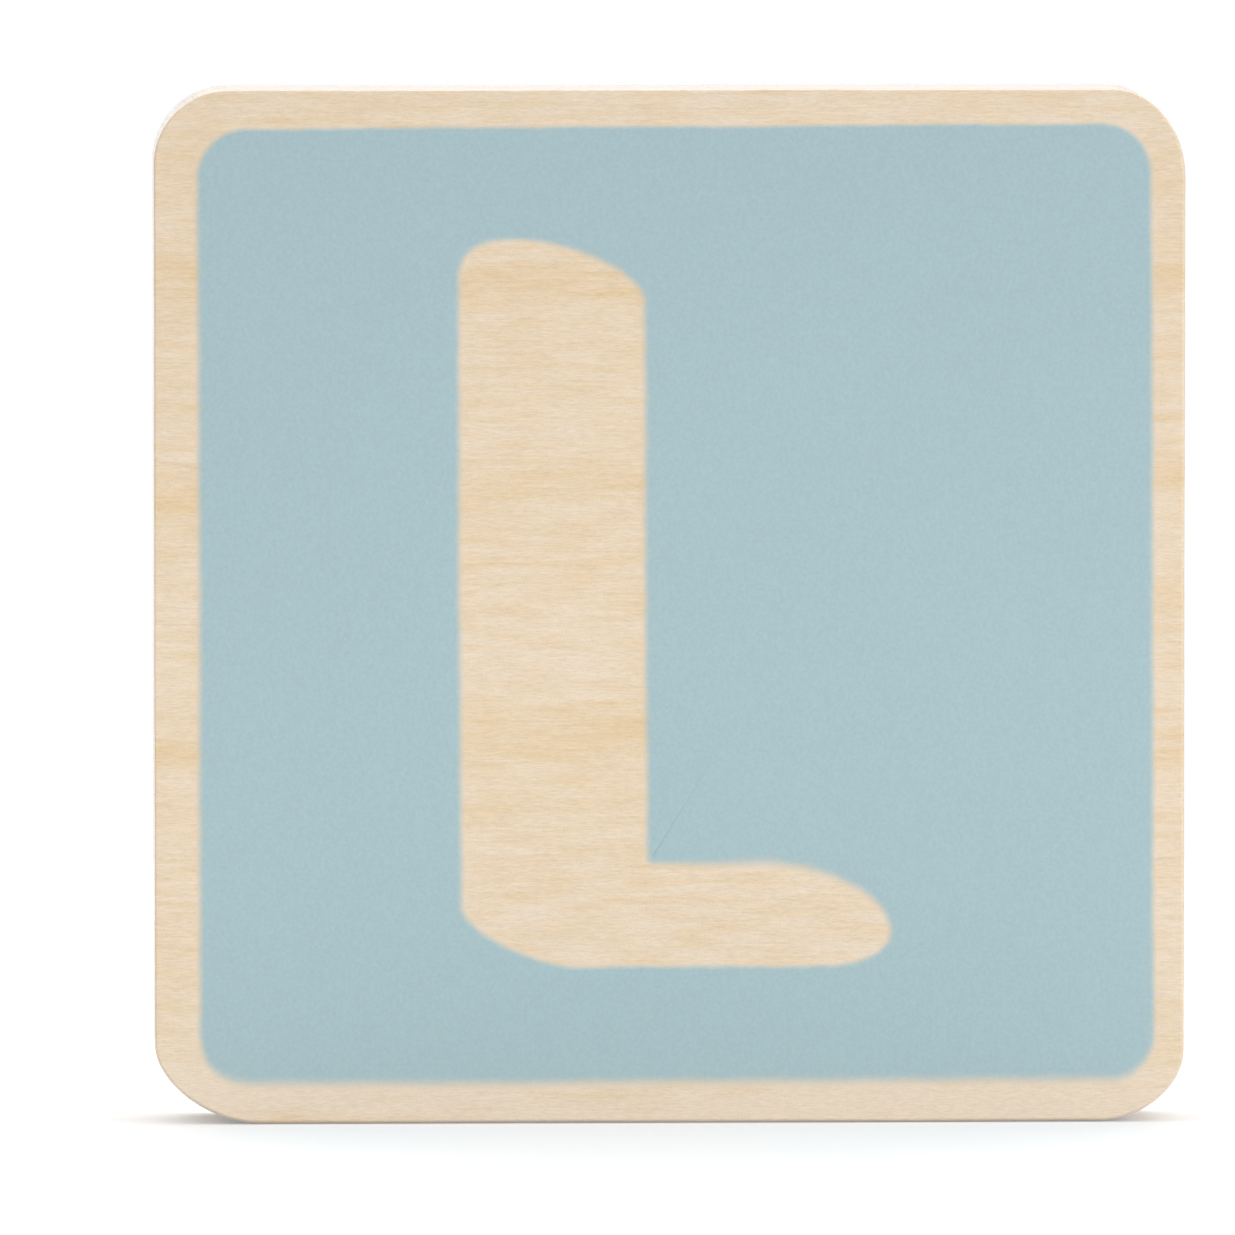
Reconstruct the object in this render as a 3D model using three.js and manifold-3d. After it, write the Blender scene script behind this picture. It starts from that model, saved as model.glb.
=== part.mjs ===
// Letter tile of a wooden letter train: a square of birch plywood that stands on its lower edge,
// with a matt paint coat on the front that leaves a border and a capital letter in bare wood.
// Millimetres. X runs to the right, Z up, and the painted face looks towards -Y.
// The origin is in the middle of the lower edge, halfway through the plywood.

import * as THREE from 'three';
import { mergeVertices } from 'three/addons/utils/BufferGeometryUtils.js';
import Module from 'manifold-3d';

// Plywood blank: outside size, the round along its front and back edges, and the four hand-sanded corners,
// each with its run along the level side and its rise along the upright one
const TILE_WIDTH = 70;
const TILE_HEIGHT = 70.3;
const EDGE_ROUND = 0.2;
const TOP_LEFT_RUN = 5.1;
const TOP_LEFT_RISE = 5.1;
const TOP_RIGHT_RUN = 4.9;
const TOP_RIGHT_RISE = 6.0;
const BOTTOM_RIGHT_RUN = 5.7;
const BOTTOM_RIGHT_RISE = 4.9;
const BOTTOM_LEFT_RUN = 7.2;
const BOTTOM_LEFT_RISE = 5.2;

// Veneers of the plywood, which set its thickness
const FACE_VENEER = 1.0;
const INNER_VENEER = 1.4;

// Paint coat: its thickness, the bare border round it, its corners and how far the print sits askew
const PAINT_COAT = 0.1;
const BORDER_LEFT = 3.0;
const BORDER_RIGHT = 2.2;
const BORDER_TOP = 2.5;
const BORDER_BOTTOM = 2.95;
const FIELD_TOP_LEFT = 2.9;
const FIELD_TOP_RIGHT = 3.5;
const FIELD_BOTTOM_RIGHT = 2.8;
const FIELD_BOTTOM_LEFT = 2.6;
const PRINT_SKEW_DEGREES = 0.27;

// Capital letter, centred in the paint coat: a stem with a sloping crown and a foot with a leaf-shaped toe
const LETTER_WIDTH = 29.3;
const LETTER_HEIGHT = 49.5;
const STEM_WIDTH = 12.8;
const FOOT_HEIGHT = 7.1;
const SHOULDER_RUN = 3.6;
const SHOULDER_DROP = 2.8;
const CROWN_DROP = 4.4;
const HEEL_RUN = 8.3;
const HEEL_RISE = 4.3;
const TOE_TIP_HEIGHT = 2.3;
const TOE_TOP_RUN = 8.9;
const TOE_BOTTOM_RUN = 4.1;
const INSTEP_RADIUS = 0.5;

// How full a rounded corner is: 0 is a straight cut, 1 is a sharp corner
const CIRCULAR = 0.5523;
const FULL_SHOULDER = 0.65;
const LEAN_CROWN = 0.48;
const LEAN_HEEL = 0.4;
const LEAN_TOE = 0.5;
const LEAN_CORNER = 0.51;

// Facets along each rounded corner and across the round of an edge
const CORNER_FACETS = 12;
const ROUND_FACETS = 5;

const wasm = await Module();
wasm.setup();

const birchFace = new THREE.MeshStandardMaterial({ color: 0xe9d6bc, roughness: 0.62, metalness: 0 });
const birchLong = new THREE.MeshStandardMaterial({ color: 0xe2c9a4, roughness: 0.7, metalness: 0 });
const birchCross = new THREE.MeshStandardMaterial({ color: 0xcfae84, roughness: 0.75, metalness: 0 });
const paleBluePaint = new THREE.MeshStandardMaterial({ color: 0xaac3c8, roughness: 0.6, metalness: 0 });

// The plywood from its painted face to its back, each veneer's grain across that of its neighbours.
const veneers = [
  { name: 'front_face_veneer', thickness: FACE_VENEER, material: birchFace },
  { name: 'front_cross_veneer', thickness: INNER_VENEER, material: birchCross },
  { name: 'front_long_veneer', thickness: INNER_VENEER, material: birchLong },
  { name: 'core_veneer', thickness: INNER_VENEER, material: birchCross },
  { name: 'back_long_veneer', thickness: INNER_VENEER, material: birchLong },
  { name: 'back_cross_veneer', thickness: INNER_VENEER, material: birchCross },
  { name: 'back_face_veneer', thickness: FACE_VENEER, material: birchFace },
];
const plywoodThickness = veneers.reduce((sum, veneer) => sum + veneer.thickness, 0);
const paintedFace = -plywoodThickness / 2;

const point = (x, y) => new THREE.Vector2(x, y);

// Rounds the corner between the path's last point and end. Both handles of the curve lie on the way to the
// corner's tip, at the share of that way that fullness gives.
function roundCorner(path, tip, end, fullness) {
  const handleIn = path.currentPoint.clone().lerp(tip, fullness);
  const handleOut = end.clone().lerp(tip, fullness);
  path.bezierCurveTo(handleIn.x, handleIn.y, handleOut.x, handleOut.y, end.x, end.y);
}

// Corner of a rectangle: its run along the level side, its rise along the upright one and its fullness.
const corner = (run, rise, fullness) => ({ run, rise, fullness });
const circle = (radius) => corner(radius, radius, CIRCULAR);

// Rectangle with a shape of its own at each corner, drawn against the clock from its lower left.
function roundedRectangle(left, bottom, right, top, { bottomLeft, bottomRight, topRight, topLeft }) {
  const outline = new THREE.Shape();
  outline.moveTo(left + bottomLeft.run, bottom);
  outline.lineTo(right - bottomRight.run, bottom);
  roundCorner(outline, point(right, bottom), point(right, bottom + bottomRight.rise), bottomRight.fullness);
  outline.lineTo(right, top - topRight.rise);
  roundCorner(outline, point(right, top), point(right - topRight.run, top), topRight.fullness);
  outline.lineTo(left + topLeft.run, top);
  roundCorner(outline, point(left, top), point(left, top - topLeft.rise), topLeft.fullness);
  outline.lineTo(left, bottom + bottomLeft.rise);
  roundCorner(outline, point(left, bottom), point(left + bottomLeft.run, bottom), bottomLeft.fullness);
  return outline;
}

// Outline of the letter about its own middle, drawn with the clock from its heel.
function letterWindow() {
  const right = LETTER_WIDTH / 2;
  const left = -right;
  const top = LETTER_HEIGHT / 2;
  const base = -top;
  const stemRight = left + STEM_WIDTH;
  const footTop = base + FOOT_HEIGHT;
  const toeTip = base + TOE_TIP_HEIGHT;
  const outline = new THREE.Path();
  outline.moveTo(left, base + HEEL_RISE);
  outline.lineTo(left, top - SHOULDER_DROP);
  roundCorner(outline, point(left, top), point(left + SHOULDER_RUN, top), FULL_SHOULDER);
  roundCorner(outline, point(stemRight, top), point(stemRight, top - CROWN_DROP), LEAN_CROWN);
  outline.lineTo(stemRight, footTop + INSTEP_RADIUS);
  roundCorner(outline, point(stemRight, footTop), point(stemRight + INSTEP_RADIUS, footTop), CIRCULAR);
  outline.lineTo(right - TOE_TOP_RUN, footTop);
  roundCorner(outline, point(right, footTop), point(right, toeTip), LEAN_TOE);
  roundCorner(outline, point(right, base), point(right - TOE_BOTTOM_RUN, base), CIRCULAR);
  outline.lineTo(left + HEEL_RUN, base);
  roundCorner(outline, point(left, base), point(left, base + HEEL_RISE), LEAN_HEEL);
  return outline;
}

// The whole sanded blank, standing: the rounded outline carried through the thickness, with round edges.
function plywoodBlank() {
  const outline = roundedRectangle(-TILE_WIDTH / 2, 0, TILE_WIDTH / 2, TILE_HEIGHT, {
    bottomLeft: corner(BOTTOM_LEFT_RUN, BOTTOM_LEFT_RISE, LEAN_CORNER),
    bottomRight: corner(BOTTOM_RIGHT_RUN, BOTTOM_RIGHT_RISE, LEAN_CORNER),
    topRight: corner(TOP_RIGHT_RUN, TOP_RIGHT_RISE, CIRCULAR),
    topLeft: corner(TOP_LEFT_RUN, TOP_LEFT_RISE, CIRCULAR),
  });
  const geometry = new THREE.ExtrudeGeometry(outline, {
    depth: plywoodThickness - 2 * EDGE_ROUND,
    bevelSize: EDGE_ROUND,
    bevelThickness: EDGE_ROUND,
    bevelOffset: -EDGE_ROUND,
    bevelSegments: ROUND_FACETS,
    curveSegments: CORNER_FACETS,
  });
  geometry.translate(0, 0, EDGE_ROUND - plywoodThickness / 2);
  geometry.rotateX(Math.PI / 2);
  return solidOf(geometry);
}

// Slab as wide as any veneer can be, from one glue line to the next.
function glueLineSlab(front, thickness) {
  const slab = new THREE.BoxGeometry(2 * TILE_WIDTH, thickness, 2 * TILE_HEIGHT);
  slab.translate(0, front + thickness / 2, TILE_HEIGHT / 2);
  return solidOf(slab);
}

function solidOf(geometry) {
  geometry.deleteAttribute('normal');
  geometry.deleteAttribute('uv');
  const merged = mergeVertices(geometry);
  return new wasm.Manifold(new wasm.Mesh({
    numProp: 3,
    vertProperties: new Float32Array(merged.attributes.position.array),
    triVerts: new Uint32Array(merged.index.array),
  }));
}

function geometryOf(solid) {
  const { vertProperties, triVerts } = solid.getMesh();
  const geometry = new THREE.BufferGeometry();
  geometry.setAttribute('position', new THREE.BufferAttribute(vertProperties, 3));
  geometry.setIndex(new THREE.BufferAttribute(triVerts, 1));
  return geometry;
}

function namedMesh(name, geometry, material) {
  const mesh = new THREE.Mesh(geometry, material);
  mesh.name = name;
  return mesh;
}

// The veneers, parted from the blank along their glue lines.
function plywood() {
  const stack = new THREE.Group();
  const blank = plywoodBlank();
  let front = paintedFace;
  for (const veneer of veneers) {
    const solid = blank.intersect(glueLineSlab(front, veneer.thickness));
    stack.add(namedMesh(veneer.name, geometryOf(solid), veneer.material));
    front += veneer.thickness;
  }
  return stack;
}

// The paint coat about its own middle, with the letter left open, turned to stand on the painted face.
function paintField() {
  const width = TILE_WIDTH - BORDER_LEFT - BORDER_RIGHT;
  const height = TILE_HEIGHT - BORDER_TOP - BORDER_BOTTOM;
  const field = roundedRectangle(-width / 2, -height / 2, width / 2, height / 2, {
    bottomLeft: circle(FIELD_BOTTOM_LEFT),
    bottomRight: circle(FIELD_BOTTOM_RIGHT),
    topRight: circle(FIELD_TOP_RIGHT),
    topLeft: circle(FIELD_TOP_LEFT),
  });
  field.holes.push(letterWindow());
  const coat = new THREE.ExtrudeGeometry(field, {
    depth: PAINT_COAT,
    bevelEnabled: false,
    curveSegments: CORNER_FACETS,
  });
  const mesh = namedMesh('paint_field', coat, paleBluePaint);
  mesh.position.set((BORDER_LEFT - BORDER_RIGHT) / 2, paintedFace, BORDER_BOTTOM + height / 2);
  mesh.rotation.set(Math.PI / 2, 0, THREE.MathUtils.degToRad(PRINT_SKEW_DEGREES));
  return mesh;
}

const letterTile = new THREE.Group();
letterTile.name = 'letter_tile';
letterTile.add(plywood(), paintField());

export default letterTile;
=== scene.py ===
import math

import bpy
import numpy as np
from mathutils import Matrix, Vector


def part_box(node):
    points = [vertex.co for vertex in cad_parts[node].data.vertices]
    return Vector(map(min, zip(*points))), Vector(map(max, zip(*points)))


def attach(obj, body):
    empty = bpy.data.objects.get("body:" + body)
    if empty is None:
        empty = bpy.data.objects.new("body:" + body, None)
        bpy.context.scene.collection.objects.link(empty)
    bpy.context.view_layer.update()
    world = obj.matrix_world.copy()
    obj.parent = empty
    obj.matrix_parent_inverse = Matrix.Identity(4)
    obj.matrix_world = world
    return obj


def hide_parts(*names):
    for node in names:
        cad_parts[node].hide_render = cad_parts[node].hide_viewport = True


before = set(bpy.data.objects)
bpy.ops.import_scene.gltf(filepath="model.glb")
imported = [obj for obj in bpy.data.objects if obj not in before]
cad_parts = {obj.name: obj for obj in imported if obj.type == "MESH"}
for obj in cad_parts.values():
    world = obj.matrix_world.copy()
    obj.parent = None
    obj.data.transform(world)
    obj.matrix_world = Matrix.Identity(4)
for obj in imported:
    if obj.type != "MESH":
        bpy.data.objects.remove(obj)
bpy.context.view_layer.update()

# Front face veneer: the outer leaf of the birch plywood, 1 mm thick, glued with its grain across the tile.
# Its corners are rounded by hand on a sanding belt, so no two are alike, and its lower front edge is sanded
# back further than the rest.

MM = 0.001
tile_low, tile_high = (np.array(end)[[0, 2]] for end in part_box("core_veneer"))
tile_middle = (tile_low + tile_high) / 2
# Each corner's run along the level side and its rise along the upright one
lower_left_run, upper_left_run, upper_right_run, lower_right_run = np.array([7.2, 5.1, 4.9, 5.7]) * MM
lower_left_rise, upper_left_rise, upper_right_rise, lower_right_rise = np.array([5.5, 5.1, 6.0, 4.9]) * MM
# How full a corner is: 0 is a straight cut, 1 is a sharp corner
circular, lean_right, lean_left = 0.5523, 0.51, 0.485
side_steps, corner_steps = 120, 30


def straight(begin, end):
    """Straight stretch as the four handles of a curve, each a third of the way from the next."""
    begin, end = np.array(begin), np.array(end)
    return np.array([begin, begin + (end - begin) / 3, end + (begin - end) / 3, end])


def rounded(begin, tip, end, fullness):
    """Rounded corner as the four handles of a curve: the inner ones lie fullness of the way to its tip."""
    begin, tip, end = np.array(begin), np.array(tip), np.array(end)
    return np.array([begin, begin + fullness * (tip - begin), end + fullness * (tip - end), end])


def drawn(stretches, steps):
    """Closed path, with the clock, through stretches of four handles each, and its outward normals.

    A point is the sum of the handles with the shares (1-t)^3, 3t(1-t)^2, 3t^2(1-t) and t^3. The tangent is
    the sum of the handles' differences with the shares (1-t)^2, 2t(1-t) and t^2. The normal is the tangent
    turned left.
    """
    points, normals = [], []
    for handles, count in zip(stretches, steps):
        t = np.linspace(0, 1, count, endpoint=False)[:, None]
        points.append(np.hstack([(1 - t) ** 3, 3 * t * (1 - t) ** 2, 3 * t**2 * (1 - t), t**3]) @ handles)
        tangent = np.hstack([(1 - t) ** 2, 2 * t * (1 - t), t**2]) @ np.diff(handles, axis=0)
        normals.append(tangent[:, ::-1] * (-1, 1) / np.linalg.norm(tangent, axis=1, keepdims=True))
    return np.concatenate(points), np.concatenate(normals)


def tile_stretches():
    """Outline of the tile as eight stretches, from the foot of its left side."""
    (left, bottom), (right, top) = tile_low, tile_high
    left_foot, left_head = (left, bottom + lower_left_rise), (left, top - upper_left_rise)
    top_left, top_right = (left + upper_left_run, top), (right - upper_right_run, top)
    right_head, right_foot = (right, top - upper_right_rise), (right, bottom + lower_right_rise)
    bottom_right, bottom_left = (right - lower_right_run, bottom), (left + lower_left_run, bottom)
    return [
        straight(left_foot, left_head),
        rounded(left_head, (left, top), top_left, circular),
        straight(top_left, top_right),
        rounded(top_right, (right, top), right_head, circular),
        straight(right_head, right_foot),
        rounded(right_foot, (right, bottom), bottom_right, lean_right),
        straight(bottom_right, bottom_left),
        rounded(bottom_left, (left, bottom), left_foot, lean_left),
    ]


def by_side(normals, left, right, top, bottom):
    """Mixes the values of four sides into one for each point of a path, by the squares of its normal."""
    x, z = normals[:, 0], normals[:, 1]
    return np.where(x < 0, left, right) * x**2 + np.where(z < 0, bottom, top) * z**2


def uneven(walk, amount):
    """Slow waves of a hand and quick ones of torn fibres along a path, from 0 to twice the amount."""
    slow = 0.4 * np.sin(7 * walk + 0.4) + 0.25 * np.sin(17 * walk + 2.1)
    return amount * (1 + slow + 0.2 * np.sin(61 * walk + 1.3) + 0.15 * np.sin(137 * walk + 0.7))


outline, outward = drawn(tile_stretches(), (side_steps, corner_steps) * 4)
walk = np.linspace(0, 2 * np.pi, len(outline), endpoint=False)
belt_wander = 0.02 * MM
sanded_off = uneven(walk, belt_wander)
# The round of the front edge, and how many times as deep as wide it is
front_round = by_side(outward, left=0.12, right=0.22, top=0.15, bottom=0.26) * MM
front_round = front_round + uneven(walk + 1, belt_wander)
front_roll = by_side(outward, left=1.0, right=1.0, top=1.0, bottom=3.3)
glue_notch = 0.04 * MM
round_steps = 9
# Rings that keep the flat faces flat: one close to the rounded edge, the others spread over the face
guard = 0.05 * MM
cap_shares = np.array([0.3, 0.65, 0.92])


def leaf(name, front, back, front_edge, back_edge, roll=1.0):
    """One leaf of the plywood, a closed surface over the place round the outline and the way front to back.

    The way starts at the middle of the front, goes out flat, over a quarter round of front_edge that is
    drawn out roll times as deep, straight along the edge, over a quarter round of back_edge and flat to the
    middle of the back. Each ring is the outline, moved in along its normals by the round's rise and by what
    the belt took off. The attribute glue is 1 on the glue lines.
    """
    turn = np.linspace(0, np.pi / 2, round_steps)[:, None]
    front_edge = np.broadcast_to(front_edge, walk.shape)
    back_edge = np.broadcast_to(back_edge, walk.shape)
    front_in = front_edge * (1 - np.sin(turn))
    front_y = front + roll * front_edge * (1 - np.cos(turn))
    back_in = back_edge * (1 - np.cos(turn))
    back_y = back - back_edge * (1 - np.sin(turn))
    thirds = np.array([[1 / 3], [2 / 3]])
    edge_y = front_y[-1] * (1 - thirds) + back_y[0] * thirds
    inset = np.vstack([front_in[:1] + guard, front_in, 0 * edge_y, back_in, back_in[-1:] + guard])
    depth = np.vstack([front_y[:1], front_y, edge_y, back_y, back_y[-1:]])
    flat = outline - (inset + sanded_off)[..., None] * outward
    front_cap = tile_middle + cap_shares[:, None, None] * (flat[0] - tile_middle)
    back_cap = tile_middle + cap_shares[::-1, None, None] * (flat[-1] - tile_middle)
    flat = np.concatenate([front_cap, flat, back_cap])
    caps = np.ones((len(cap_shares), 1))
    depth = np.vstack([caps * depth[0], depth, caps * depth[-1]])
    rings = np.stack([flat[..., 0], depth, flat[..., 1]], -1)
    poles = np.array([[tile_middle[0], front, tile_middle[1]], [tile_middle[0], back, tile_middle[1]]])
    face_rings = len(cap_shares) + 1 + round_steps
    glued = np.zeros(depth.shape)
    glued[:face_rings] = front_edge <= glue_notch
    glued[-face_rings:] = back_edge <= glue_notch
    piece = ringed_mesh(name, rings, poles)
    mark_points(piece, "glue", np.append(glued.ravel(), [0, 0]))
    return piece


def ringed_mesh(name, rings, poles):
    """Mesh of closed rings, joined one to the next by four-sided faces, with a fan to a pole at each end."""
    count, size = rings.shape[:2]
    here = np.arange(size)
    ahead = np.roll(here, -1)
    start = np.arange(count - 1)[:, None] * size
    strips = np.stack([start + here, start + size + here, start + size + ahead, start + ahead], -1)
    last = (count - 1) * size
    pole = np.full(size, count * size)
    first_fan = np.stack([pole, here, ahead], -1)
    last_fan = np.stack([pole + 1, last + ahead, last + here], -1)
    points = np.concatenate([rings.reshape(-1, 3), poles])
    return shown_mesh(name, points, strips.reshape(-1, 4).tolist() + first_fan.tolist() + last_fan.tolist())


def shown_mesh(name, points, faces):
    """Smooth-shaded mesh object at the origin, in the scene."""
    mesh = bpy.data.meshes.new(name)
    mesh.from_pydata(points, [], faces)
    mesh.polygons.foreach_set("use_smooth", np.ones(len(faces), bool))
    piece = bpy.data.objects.new(name, mesh)
    bpy.context.scene.collection.objects.link(piece)
    return piece


def mark_points(piece, name, values):
    """Stores one number on each point of a piece, for its material to read."""
    marks = piece.data.attributes.new(name, "FLOAT", "POINT")
    marks.data.foreach_set("value", np.asarray(values, np.float32))


def new_finish(name):
    """Empty material with a surface shader, as the material, its nodes and the shader."""
    finish = bpy.data.materials.new(name)
    finish.use_nodes = True
    return finish, finish.node_tree, finish.node_tree.nodes["Principled BSDF"]


def wire(tree, kind, sockets, **settings):
    """Adds a node, sets its properties, and gives each named or numbered socket a value or an output."""
    node = tree.nodes.new(kind)
    for key, value in settings.items():
        setattr(node, key, value)
    for key, value in sockets.items():
        if isinstance(value, bpy.types.NodeSocket):
            tree.links.new(value, node.inputs[key])
        else:
            node.inputs[key].default_value = value
    return node


def maths(tree, operation, *values):
    """Output of a sum, product or other operation on numbers or outputs."""
    return wire(tree, "ShaderNodeMath", dict(enumerate(values)), operation=operation).outputs[0]


def weighed(tree, total, *parts):
    """Total plus each part's departure from a half, times its weight."""
    for part, weight in parts:
        total = maths(tree, "MULTIPLY_ADD", maths(tree, "SUBTRACT", part, 0.5), weight, total)
    return total


def smooth_step(tree, value, low, high):
    """0 at low, 1 at high, with an even curve between."""
    sockets = {"Value": value, "From Min": low, "From Max": high}
    return wire(tree, "ShaderNodeMapRange", sockets, interpolation_type="SMOOTHSTEP").outputs["Result"]


def blend_colours(tree, share, first, second, blend="MIX"):
    """Colour between first and second, or first treated by second."""
    sockets = {"Factor": share, 6: first, 7: second}
    return wire(tree, "ShaderNodeMix", sockets, data_type="RGBA", blend_type=blend).outputs[2]


pale_birch = (0.840, 0.705, 0.552, 1)
warm_birch = (0.790, 0.598, 0.366, 1)
growth_line = (0.93, 0.88, 0.80, 1)
end_grain = (0.80, 0.70, 0.58, 1)
glue_stain = (0.45, 0.32, 0.20, 1)
usual_tone = 0.68
sanded_roughness, burnishing = 0.58, 0.38
nap_sheen, nap_roughness = 0.8, 0.35
relief_depth = 0.003 * MM
line_gap, growth_sweep, growth_ripple = np.array([9.0, 9.0, 0.6]) * MM
# Bands across the face: height in millimetres, half of the band's width, and how much warmer it is, where a
# number below 0 makes it paler. Most are bands of growth; the pale ones at 1.0 and 69.3 are painted light,
# brightening the strips along the bottom and top edges of the face.
face_growth_and_painted_light = ((65.0, 1.6, 0.35), (58.2, 2.2, 0.40), (52.5, 1.4, 0.15), (43.2, 2.4, 0.45), (34.0, 2.0, 0.20),
               (26.0, 2.6, 0.45), (21.5, 0.9, 0.25), (1.0, 3.2, -0.45), (69.3, 2.2, -0.15))


def birch_figure(tree, grain, growth):
    """Colour, roughness and relief of birch, with the grain along the axis numbered grain.

    Pores, fibres and streaks are fine noises, drawn out along the grain, that lighten and darken. Blotches
    and slow bands are wider noises that shift the hue between pale and warm. So does each listed band, an
    even bump across the grain about a height that wanders. Most are bands of growth; the two pale ones on
    the face are painted light, brightening its bottom and top edges. Thin darker lines of growth lie at even
    gaps.
    Where the surface cuts the grain it shows darker end grain, and the edges are burnished smoother than
    the faces.
    """
    place = wire(tree, "ShaderNodeTexCoord", {}).outputs["Object"]
    normal = wire(tree, "ShaderNodeNewGeometry", {}).outputs["Normal"]

    def drawn_out(along, across, detail, roughness):
        """Noise with so many cells to the millimetre along and across the grain."""
        scale = [across / MM] * 3
        scale[grain] = along / MM
        spot = wire(tree, "ShaderNodeMapping", {"Vector": place, "Scale": scale}).outputs[0]
        sockets = {"Vector": spot, "Scale": 1, "Detail": detail, "Roughness": roughness}
        return wire(tree, "ShaderNodeTexNoise", sockets).outputs[0]

    def turned_to(axis):
        """How squarely the surface faces along an axis, from 0 to 1, as the size of the normal's share."""
        share = wire(tree, "ShaderNodeVectorMath", {0: normal, 1: axis}, operation="DOT_PRODUCT")
        return maths(tree, "ABSOLUTE", share.outputs["Value"])

    pore = drawn_out(along=7.0, across=14.0, detail=0, roughness=0.5)
    fibre = drawn_out(along=1.6, across=10.5, detail=1, roughness=0.5)
    streak = drawn_out(along=0.25, across=5.5, detail=2, roughness=0.6)
    blotch = drawn_out(along=0.24, across=1.3, detail=2, roughness=0.5)
    band = drawn_out(along=0.018, across=0.30, detail=3, roughness=0.55)
    sweep = drawn_out(along=0.03, across=0.04, detail=1, roughness=0.5)

    cross_axis = 2 if grain == 0 else 0
    height = wire(tree, "ShaderNodeSeparateXYZ", {0: place}).outputs[cross_axis]
    height = weighed(tree, height, (sweep, growth_sweep), (streak, growth_ripple))
    tone = weighed(tree, usual_tone, (band, 0.9), (blotch, 1.4), (streak, 1.0))
    for middle, half, warmth in growth:
        away = maths(tree, "ABSOLUTE", maths(tree, "SUBTRACT", height, middle * MM))
        tone = maths(tree, "MULTIPLY_ADD", smooth_step(tree, away, half * MM, 0.0), -warmth, tone)
    colour = blend_colours(tree, tone, warm_birch, pale_birch)
    light = weighed(tree, 1.0, (pore, 0.14), (fibre, 0.28), (streak, 0.05))
    colour = blend_colours(tree, 1.0, colour, light, "MULTIPLY")

    line = maths(tree, "PINGPONG", maths(tree, "MULTIPLY", height, 1 / line_gap), 0.5)
    line = maths(tree, "MULTIPLY", smooth_step(tree, line, 0.022, 0.0), smooth_step(tree, band, 0.45, 0.65))
    colour = blend_colours(tree, line, colour, growth_line, "MULTIPLY")

    along_grain = [0.0, 0.0, 0.0]
    along_grain[grain] = 1.0
    cut = smooth_step(tree, turned_to(along_grain), 0.6, 1.0)
    colour = blend_colours(tree, cut, colour, end_grain, "MULTIPLY")

    burnished = smooth_step(tree, turned_to((0, 1, 0)), 0.8, 0.3)
    sanded = weighed(tree, sanded_roughness, (streak, -0.2))
    roughness = maths(tree, "MULTIPLY_ADD", burnished, -burnishing, sanded)
    relief = maths(tree, "MULTIPLY_ADD", streak, 0.5, fibre)
    return colour, roughness, relief


def birch_finish(name, grain, growth, shade):
    """Sanded bare birch: the figure, a shade of its own, darker glue lines, fine relief and a faint nap."""
    finish, tree, shader = new_finish(name)
    colour, roughness, relief = birch_figure(tree, grain, growth)
    colour = blend_colours(tree, 1.0, colour, shade, "MULTIPLY")
    glue = wire(tree, "ShaderNodeAttribute", {}, attribute_name="glue").outputs["Fac"]
    colour = blend_colours(tree, smooth_step(tree, glue, 0.7, 1.0), colour, glue_stain, "MULTIPLY")
    tree.links.new(colour, shader.inputs["Base Color"])
    tree.links.new(roughness, shader.inputs["Roughness"])
    bump = wire(tree, "ShaderNodeBump", {"Strength": 1.0, "Distance": relief_depth, "Height": relief})
    tree.links.new(bump.outputs[0], shader.inputs["Normal"])
    shader.inputs["Sheen Weight"].default_value = nap_sheen
    shader.inputs["Sheen Roughness"].default_value = nap_roughness
    return finish


def seat(piece, finish, node):
    """Gives a piece its finish and puts it in the place of its solid."""
    piece.data.materials.append(finish)
    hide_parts(node)
    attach(piece, "root")


def leaf_depths(node):
    """Front and back of a veneer's solid."""
    low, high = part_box(node)
    return low[1], high[1]


across_tile, up_tile = 0, 2
own_shade = (1, 1, 1, 1)
face_birch = birch_finish("sanded birch face", across_tile, face_growth_and_painted_light, own_shade)
face_front, face_back = leaf_depths("front_face_veneer")
front_leaf = leaf("birch_front_leaf", face_front, face_back, front_round, glue_notch, front_roll)
seat(front_leaf, face_birch, "front_face_veneer")

# Inner veneers: five leaves of birch, each glued with its grain across that of its neighbours, trimmed and
# sanded flush. On the tile's edges they show as stripes, pale long grain beside darker end grain, with thin
# glue lines between.

long_birch = birch_finish("birch ply with long grain", across_tile, (), (0.97, 0.93, 0.87, 1))
cross_birch = birch_finish("birch ply with upright grain", up_tile, (), (0.93, 0.87, 0.79, 1))
inner_leaves = {
    "front_cross_veneer": ("birch_front_cross_leaf", cross_birch, "birch_cross_ply"),
    "front_long_veneer": ("birch_front_long_leaf", long_birch, "birch_long_ply"),
    "core_veneer": ("birch_core_leaf", cross_birch, "birch_cross_ply"),
    "back_long_veneer": ("birch_back_long_leaf", long_birch, "birch_long_ply"),
    "back_cross_veneer": ("birch_back_cross_leaf", cross_birch, "birch_cross_ply"),
}
for node, (name, finish, slot) in inner_leaves.items():
    leaf_front, leaf_back = leaf_depths(node)
    seat(leaf(name, leaf_front, leaf_back, glue_notch, glue_notch), finish, node)

# Back face veneer: the same kind of leaf as the front one, cut from another place in the log and left bare.
# It is glued with its grain across the tile too, and its back edge is rounded on the belt.

back_growth = ((8.0, 2.0, 0.35), (19.0, 2.6, 0.40), (31.5, 1.6, 0.25), (40.0, 3.0, 0.45), (55.0, 2.2, 0.35))
back_birch = birch_finish("sanded birch back", across_tile, back_growth, own_shade)
back_round = 0.2 * MM + uneven(walk + 2, 0.03 * MM)
behind_front, behind_back = leaf_depths("back_face_veneer")
back_leaf = leaf("birch_back_leaf", behind_front, behind_back, glue_notch, back_round)
seat(back_leaf, back_birch, "back_face_veneer")

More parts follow.
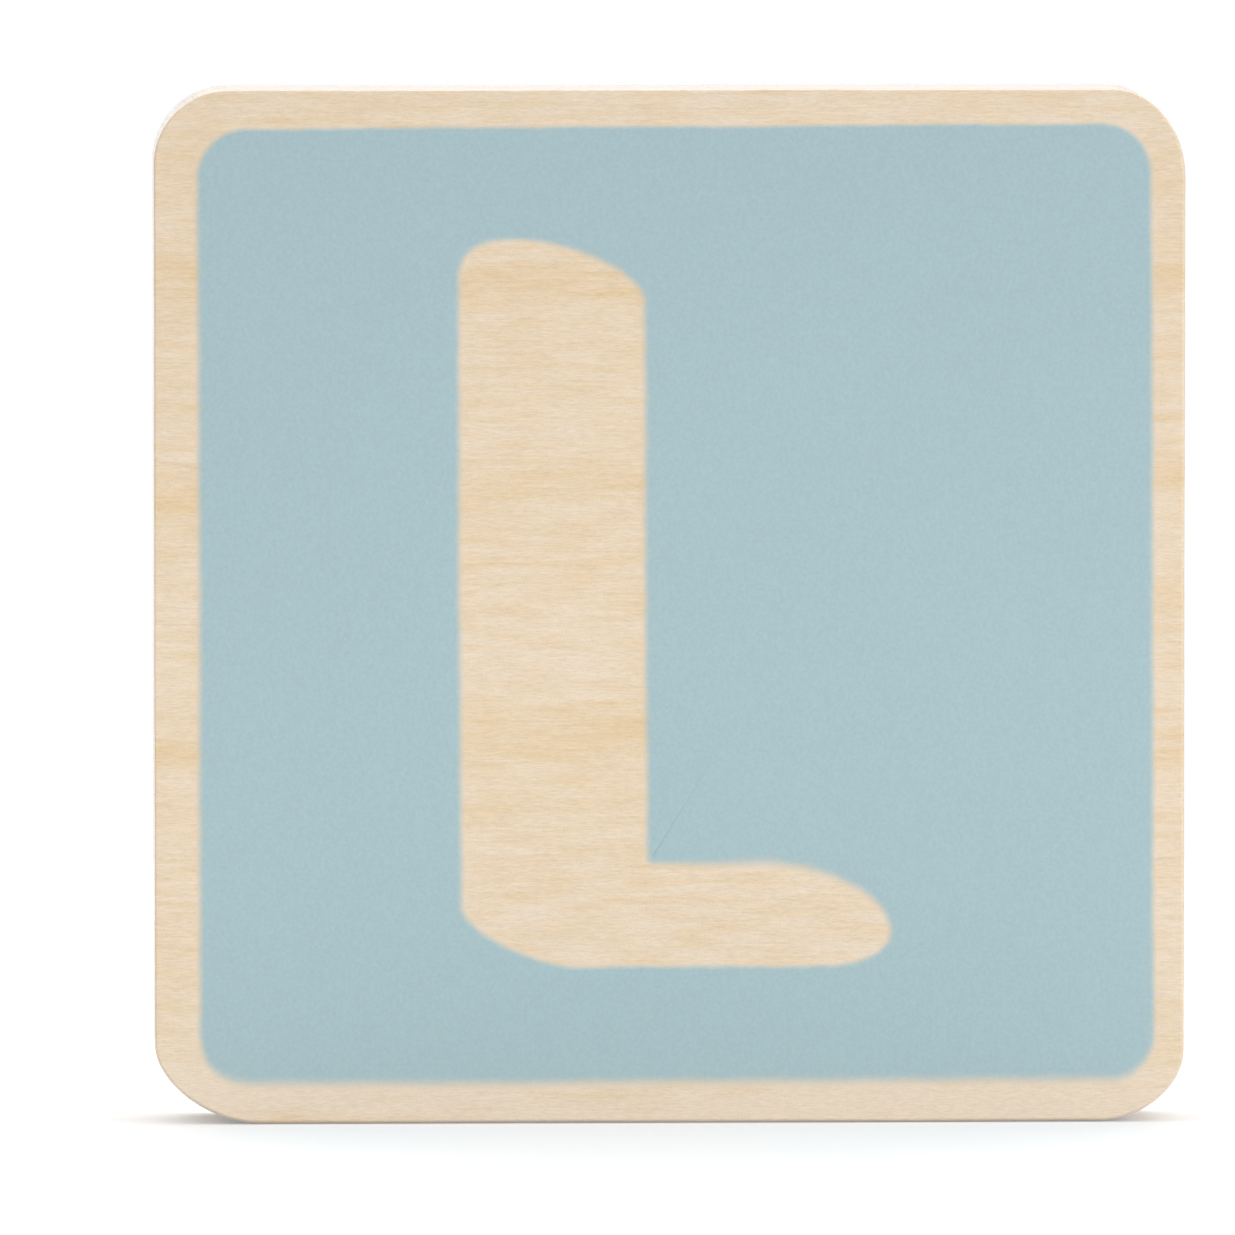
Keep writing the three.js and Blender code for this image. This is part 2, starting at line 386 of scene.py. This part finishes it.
# Paint coat: a thin matt water-based paint, laid on through a stencil that keeps the border and the letter
# bare. It seeps a little under the stencil, so its edges wander and are soft, most of all along the bottom
# of the field and over the letter's toe.

border_left, border_right, border_top, border_bottom = np.array([3.0, 2.2, 2.5, 2.95]) * MM
lower_left, upper_left, upper_right, lower_right = np.array([3.5, 3.3, 3.3, 3.2]) * MM
# How far the lower left corner runs along the bottom, the left side leans in and the bottom drops rightwards
lower_left_reach, left_lean, bottom_drop = np.array([4.2, 0.15, 0.15]) * MM
full_corner = 0.72
print_skew = math.radians(0.27)
coat_thickness = 0.045 * MM
coat_lift = 0.001 * MM
# The letter's way from the middle of the field to the left and up, and its sizes
letter_shift, letter_lift = np.array([0.07, 0.06]) * MM
letter_width, letter_height, stem_width, foot_height = np.array([29.2, 49.5, 12.65, 7.05]) * MM
shoulder_run, shoulder_drop, crown_drop = np.array([3.6, 2.8, 4.4]) * MM
heel_run, heel_rise = np.array([8.3, 4.3]) * MM
toe_tip, toe_top_run, toe_bottom_run, instep = np.array([2.3, 8.9, 4.1, 0.5]) * MM
full_shoulder, lean_crown, lean_heel, lean_toe = 0.65, 0.48, 0.4, 0.5
coat_steps = (88, 36, 52, 88, 16, 32, 44, 32, 68, 44)
coat_points = sum(coat_steps)

field_low = tile_low + (border_left, border_bottom)
field_high = tile_high - (border_right, border_top)
field_middle = (field_low + field_high) / 2


def letter_stretches():
    """The capital letter about the middle of the field, from its heel, as ten stretches."""
    right, top = letter_width / 2 - letter_shift, letter_height / 2 + letter_lift
    left, base = right - letter_width, top - letter_height
    stem_right, foot_top = left + stem_width, base + foot_height
    heel, shoulder, peak = (left, base + heel_rise), (left, top - shoulder_drop), (left + shoulder_run, top)
    crown, shin = (stem_right, top - crown_drop), (stem_right, foot_top + instep)
    arch, toe = (stem_right + instep, foot_top), (right - toe_top_run, foot_top)
    tip, ball, sole = (right, base + toe_tip), (right - toe_bottom_run, base), (left + heel_run, base)
    return [
        straight(heel, shoulder),
        rounded(shoulder, (left, top), peak, full_shoulder),
        rounded(peak, (stem_right, top), crown, lean_crown),
        straight(crown, shin),
        rounded(shin, (stem_right, foot_top), arch, circular),
        straight(arch, toe),
        rounded(toe, (right, foot_top), tip, lean_toe),
        rounded(tip, (right, base), ball, circular),
        straight(ball, sole),
        rounded(sole, (left, base), heel, lean_heel),
    ]


def field_stretches():
    """The painted field about its own middle, as ten stretches that lie opposite those of the letter."""
    right, top = (field_high - field_low) / 2
    left, bottom = -right, -top
    head_left, foot_right = left + left_lean, bottom - bottom_drop
    above_crown, beside_toe = (0.0, top), (right, bottom + letter_height / 2)
    left_foot, left_head = (left, bottom + lower_left), (head_left, top - upper_left)
    top_left, top_right = (head_left + upper_left, top), (right - upper_right, top)
    right_head, right_foot = (right, top - upper_right), (right, foot_right + lower_right)
    bottom_right, bottom_left = (right - lower_right, foot_right), (left + lower_left_reach, bottom)
    return [
        straight(left_foot, left_head),
        rounded(left_head, (head_left, top), top_left, circular),
        straight(top_left, above_crown),
        straight(above_crown, top_right),
        rounded(top_right, (right, top), right_head, circular),
        straight(right_head, beside_toe),
        straight(beside_toe, right_foot),
        rounded(right_foot, (right, foot_right), bottom_right, circular),
        straight(bottom_right, bottom_left),
        rounded(bottom_left, (left, bottom), left_foot, full_corner),
    ]


letter_line, letter_out = drawn(letter_stretches(), coat_steps)
field_line, field_out = drawn(field_stretches(), coat_steps)
stencil = np.linspace(0, 2 * np.pi, coat_points, endpoint=False)
seep = 0.07 * MM
letter_line = letter_line + (uneven(stencil + 0.5, seep) - seep)[:, None] * letter_out
field_line = field_line + (uneven(stencil, seep) - seep)[:, None] * field_out
# Half of the soft edge's width, at the start of each stretch of the letter and on each side of the field
letter_soft_starts = np.array([0.40, 0.38, 0.34, 0.43, 0.37, 0.38, 0.64, 0.40, 0.31, 0.31]) * MM
stretch_starts = np.cumsum(coat_steps) - coat_steps
letter_soft = np.interp(np.arange(coat_points), stretch_starts, letter_soft_starts, period=coat_points)
field_soft = by_side(field_out, left=0.38, right=0.36, top=0.26, bottom=0.6) * MM
# The way over a soft edge from bare, -1, to covered, 1, and the way across the coat between its soft edges
fade = np.append(-0.997, np.linspace(-0.99, 1, 11))
spread = np.linspace(0, 1, 7)[1:-1]


def paint_coat(name):
    """The coat, a closed ring over the place round the letter and the way across to the field's edge.

    Its top goes out over the letter's soft edge, straight across and down over the field's soft edge, and
    its underside lies flat on the veneer. The attribute edge runs from -1, bare, to 1, covered, over each
    soft edge, and the coat's thickness follows it by an even curve.
    """
    inner = letter_line + fade[:, None, None] * (letter_soft[:, None] * letter_out)
    outer = field_line - fade[::-1, None, None] * (field_soft[:, None] * field_out)
    between = inner[-1] + spread[:, None, None] * (outer[0] - inner[-1])
    top = np.concatenate([inner, between, outer])
    edge = np.concatenate([fade, np.ones(len(spread)), fade[::-1]])
    cover = (edge + 1) / 2
    height = 2 * coat_lift + coat_thickness * cover**2 * (3 - 2 * cover)
    flat = np.concatenate([top, top[-1:], top[:1]])
    rise = np.append(height, [coat_lift, coat_lift])
    cosine, sine = math.cos(print_skew), math.sin(print_skew)
    turned = flat @ np.array([[cosine, sine], [-sine, cosine]]) + field_middle
    depth = np.broadcast_to(face_front - rise[:, None], flat.shape[:2])
    rings = np.stack([turned[..., 0], depth, turned[..., 1]], -1)
    count, size = rings.shape[:2]
    here = np.arange(size)
    start = np.arange(count)[:, None] * size
    ahead, after = np.roll(here, -1), np.roll(start, -1, 0)
    faces = np.stack([start + here, after + here, after + ahead, start + ahead], -1).reshape(-1, 4)
    piece = shown_mesh(name, rings.reshape(-1, 3), faces.tolist())
    mark_points(piece, "edge", np.repeat(np.append(edge, [-1, -1]), size))
    return piece


pale_blue = (0.396, 0.545, 0.580, 1)
matt_roughness = 0.65
cloud_size, speck_size = np.array([9.0, 0.22]) * MM


def paint_finish(name):
    """Matt paint over birch: faint clouds and specks of tone, fine peel, and edges soaked into the grain."""
    finish, tree, shader = new_finish(name)
    wood, wood_roughness, wood_relief = birch_figure(tree, across_tile, face_growth_and_painted_light)
    place = wire(tree, "ShaderNodeTexCoord", {}).outputs["Object"]

    def grains(size):
        """Even noise with cells of the given size."""
        return wire(tree, "ShaderNodeTexNoise", {"Vector": place, "Scale": 1 / size, "Detail": 2}).outputs[0]

    clouds, specks = grains(cloud_size), grains(speck_size)
    shade = weighed(tree, 1.0, (clouds, 0.03), (specks, 0.20))
    paint = blend_colours(tree, 1.0, pale_blue, shade, "MULTIPLY")
    edge = wire(tree, "ShaderNodeAttribute", {}, attribute_name="edge").outputs["Fac"]
    soaked = weighed(tree, edge, (maths(tree, "MULTIPLY", wood_relief, 2 / 3), 1.2))
    cover = smooth_step(tree, soaked, -0.9, 0.9)
    tree.links.new(blend_colours(tree, cover, wood, paint), shader.inputs["Base Color"])
    matt = weighed(tree, matt_roughness, (specks, 0.1))
    rough = wire(tree, "ShaderNodeMix", {"Factor": cover, 2: wood_roughness, 3: matt}).outputs[0]
    tree.links.new(rough, shader.inputs["Roughness"])
    peel = maths(tree, "MULTIPLY_ADD", specks, 0.6, maths(tree, "MULTIPLY", wood_relief, 0.25))
    bump = wire(tree, "ShaderNodeBump", {"Strength": 1.0, "Distance": relief_depth, "Height": peel})
    tree.links.new(bump.outputs[0], shader.inputs["Normal"])
    return finish


seat(paint_coat("painted_field"), paint_finish("matt pale blue paint"), "paint_field")

# Floor, light and camera: the tile stands on a white table in a white room, under a wide soft box, with one
# to the front right, one high behind and a low card of light in front. The camera is a long lens a little
# above the tile, panned so that the tile sits right of the middle.

bpy.context.scene.view_settings.view_transform = "Standard"


def seen_directly(tree):
    """1 for what the camera or a reflection sees, 0 for what only lights the tile."""
    path = wire(tree, "ShaderNodeLightPath", {}).outputs
    seen = maths(tree, "MAXIMUM", path["Is Camera Ray"], path["Is Glossy Ray"])
    return maths(tree, "MAXIMUM", seen, path["Is Transmission Ray"])


floor_half, floor_back = 0.9, 0.22
floor_corners = [(-floor_half, -floor_half, 0), (floor_half, -floor_half, 0),
                 (floor_half, floor_back, 0), (-floor_half, floor_back, 0)]
floor = shown_mesh("floor", floor_corners, [(0, 1, 2, 3)])
glow_level = 0.26
white_table, table_tree, table_shader = new_finish("white table")
table_shader.inputs["Base Color"].default_value = (0.75, 0.75, 0.75, 1)
table_shader.inputs["Roughness"].default_value = 0.9
table_shader.inputs["Specular IOR Level"].default_value = 0.0
table_shader.inputs["Emission Color"].default_value = (0.98, 1.0, 1.02, 1)
table_glow = maths(table_tree, "MULTIPLY", seen_directly(table_tree), glow_level)
table_tree.links.new(table_glow, table_shader.inputs["Emission Strength"])
floor.data.materials.append(white_table)

room_light = 0.48
world = bpy.data.worlds.new("white room")
bpy.context.scene.world = world
world.use_nodes = True
room_tree = world.node_tree
room_tree.nodes.clear()
room_level = maths(room_tree, "MAXIMUM", seen_directly(room_tree), room_light)
room = wire(room_tree, "ShaderNodeBackground", {"Color": (1, 1, 1, 1), "Strength": room_level})
wire(room_tree, "ShaderNodeOutputWorld", {"Surface": room.outputs[0]})


def soft_box(name, place, aim, width, height, power):
    """Area lamp at place, turned towards aim."""
    lamp = bpy.data.lights.new(name, "AREA")
    lamp.shape = "RECTANGLE"
    lamp.size = width
    lamp.size_y = height
    lamp.energy = power
    holder = bpy.data.objects.new(name, lamp)
    holder.location = place
    holder.rotation_euler = (Vector(aim) - Vector(place)).to_track_quat("-Z", "Y").to_euler()
    bpy.context.scene.collection.objects.link(holder)


soft_box("overhead box", (0.0, 0.03, 0.9), (0, 0.03, 0), width=1.4, height=0.75, power=4.6)
soft_box("side box", (0.9, -0.7, 0.35), (0, 0, 0.035), width=0.6, height=0.6, power=4.6)
soft_box("back box", (0.0, 0.6, 0.42), (0, 0, 0), width=1.6, height=0.3, power=4.2)
soft_box("low card", (0.0, -0.09, 0.011), (0, 0, 0.011), width=0.2, height=0.02, power=0.016)

photo_side = 1235
focal_pixels = 20632
sensor = 36.0
distance = 1.4
pitch = math.radians(3.8)
yaw = math.radians(-2.1)
tile_pixel = (670.0, 607.3)
centre = Vector((tile_middle[0], face_front, tile_middle[1]))
towards = Vector((-math.sin(yaw) * math.cos(pitch), math.cos(yaw) * math.cos(pitch), -math.sin(pitch)))
camera_data = bpy.data.cameras.new("long lens")
camera_data.sensor_width = sensor
camera_data.lens = focal_pixels * sensor / photo_side
camera = bpy.data.objects.new("long lens", camera_data)
bpy.context.scene.collection.objects.link(camera)
camera.location = centre - distance * towards
rightwards = towards.cross(Vector((0, 0, 1))).normalized()
upwards = rightwards.cross(towards)
pan = (photo_side / 2 - tile_pixel[0]) / focal_pixels
tilt = (tile_pixel[1] - photo_side / 2) / focal_pixels
look = towards + rightwards * pan + upwards * tilt
camera.rotation_euler = look.to_track_quat("-Z", "Y").to_euler()
bpy.context.scene.camera = camera
